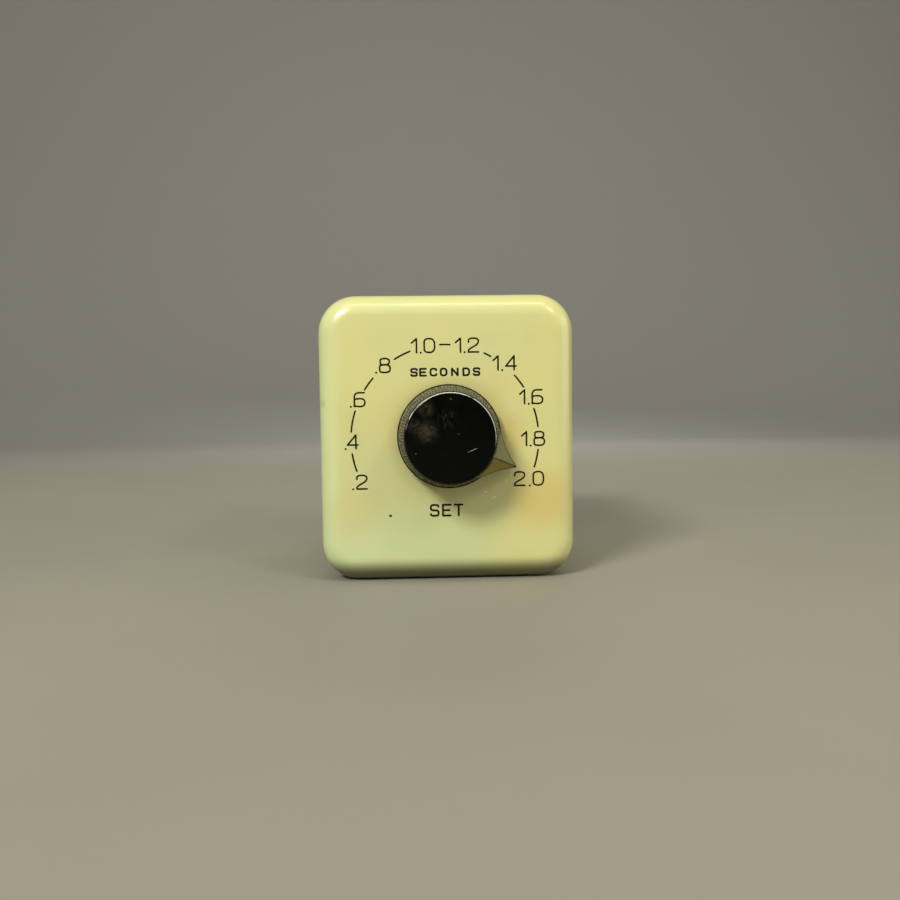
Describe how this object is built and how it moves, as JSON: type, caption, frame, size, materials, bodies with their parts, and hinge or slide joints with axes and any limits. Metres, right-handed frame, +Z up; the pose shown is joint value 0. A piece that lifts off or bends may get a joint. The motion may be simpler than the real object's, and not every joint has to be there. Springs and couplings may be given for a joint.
{
  "type": "enlarger timer",
  "caption": "Small plug-in timer: rounded cream-enamelled case with a dial in seconds printed round a black pointer knob, on a keyed octal plug.",
  "frame": {"origin": "middle of the bounding box's bottom, on the surface that the case lies on", "axes": "+Z up; +Y from the dial to the plug, so the front panel faces -Y; +X to the right seen from the front"},
  "size_m": [0.0502, 0.089, 0.0532],
  "materials": {
    "cream_enamel": "semi-gloss baked enamel",
    "dial_ink": "screen-printed ink",
    "base_phenolic": "moulded brown phenolic",
    "knob_phenolic": "polished black phenolic",
    "pin_plating": "tinned brass",
    "plated_steel": "zinc-plated steel",
    "bracket_steel": "cadmium-plated steel sheet",
    "turned_brass": "turned brass",
    "contact_bronze": "phosphor bronze",
    "wafer_phenolic": "paper phenolic",
    "carbon_track": "printed carbon",
    "board_laminate": "paper-phenolic laminate",
    "solder": "tin-lead solder",
    "capacitor_sleeve": "shrunk PVC sleeve",
    "film_dip": "epoxy dip",
    "resistor_ceramic": "unglazed ceramic",
    "resistor_lacquer": "lacquer with colour bands",
    "diode_epoxy": "moulded epoxy",
    "transistor_can": "gold-flashed can",
    "varistor_dip": "epoxy dip",
    "trimmer_plastic": "moulded nylon",
    "trimmer_white": "moulded nylon",
    "relay_iron": "nickel-plated soft iron",
    "bobbin_nylon": "moulded nylon",
    "coil_tape": "enamelled copper under varnish",
    "card_phenolic": "paper phenolic",
    "wire_red": "PVC insulation",
    "wire_yellow": "PVC insulation",
    "wire_green": "PVC insulation",
    "wire_white": "PVC insulation"
  },
  "bodies": {
    "housing": {"case_cover": "cream_enamel", "dial_print": "dial_ink", "octal_base": "base_phenolic", "octal_pins": "pin_plating", "cover_screws": "plated_steel", "chassis_bracket": "bracket_steel", "chassis_screws": "plated_steel", "pot_bushing": "turned_brass", "pot_nut": "plated_steel", "pot_flat_washer": "plated_steel", "pot_lock_washer": "plated_steel", "pot_can": "bracket_steel", "pot_wafer": "wafer_phenolic", "pot_track": "carbon_track", "pot_terminals": "pin_plating", "circuit_board": "board_laminate", "solder_joints": "solder", "board_spacers": "turned_brass", "board_screws": "plated_steel", "board_nuts": "plated_steel", "filter_capacitor": "capacitor_sleeve", "timing_capacitor": "film_dip", "dropper_resistor": "resistor_ceramic", "small_resistors": "resistor_lacquer", "bridge_diodes": "diode_epoxy", "transistors": "transistor_can", "relay_driver": "diode_epoxy", "surge_varistor": "varistor_dip", "trimmer_body": "trimmer_plastic", "relay_yoke": "relay_iron", "relay_core": "relay_iron", "relay_bobbin": "bobbin_nylon", "relay_coil": "coil_tape", "relay_spring": "plated_steel", "relay_terminal_block": "card_phenolic", "relay_fixed_contacts": "contact_bronze", "relay_screws": "plated_steel", "pot_leads": "wire_red", "coil_leads": "wire_yellow", "contact_leads": "wire_green", "pin_leads": "wire_white"},
    "dial": {"knob_body": "knob_phenolic", "knob_insert": "turned_brass", "knob_set_screw": "plated_steel", "pot_shaft": "turned_brass", "pot_rotor": "card_phenolic", "pot_wiper": "contact_bronze", "pot_ring": "plated_steel"},
    "armature": {"relay_armature": "relay_iron", "relay_card": "card_phenolic", "relay_blades": "contact_bronze"},
    "trimmer": {"trimmer_rotor": "trimmer_white"}
  },
  "joints": [
    {"name": "dial_turn", "type": "hinge", "parent": "housing", "child": "dial", "pos_m": [0.0002, -0.0357, 0.02705], "axis": [0, 1, 0], "range_deg": [-250, 20]},
    {"name": "armature_pull", "type": "hinge", "parent": "housing", "child": "armature", "pos_m": [0.0105, 0.0119, 0.0316], "axis": [1, 0, 0], "range_deg": [0, 3.6], "stiffness_Nm_per_rad": 0.02, "springref_deg": -5.73, "deforming": ["relay_spring"]},
    {"name": "trimmer_turn", "type": "hinge", "parent": "housing", "child": "trimmer", "pos_m": [-0.004, 0.0113, 0.0351], "axis": [-1, 0, 0], "range_deg": [-135, 135]}
  ]
}
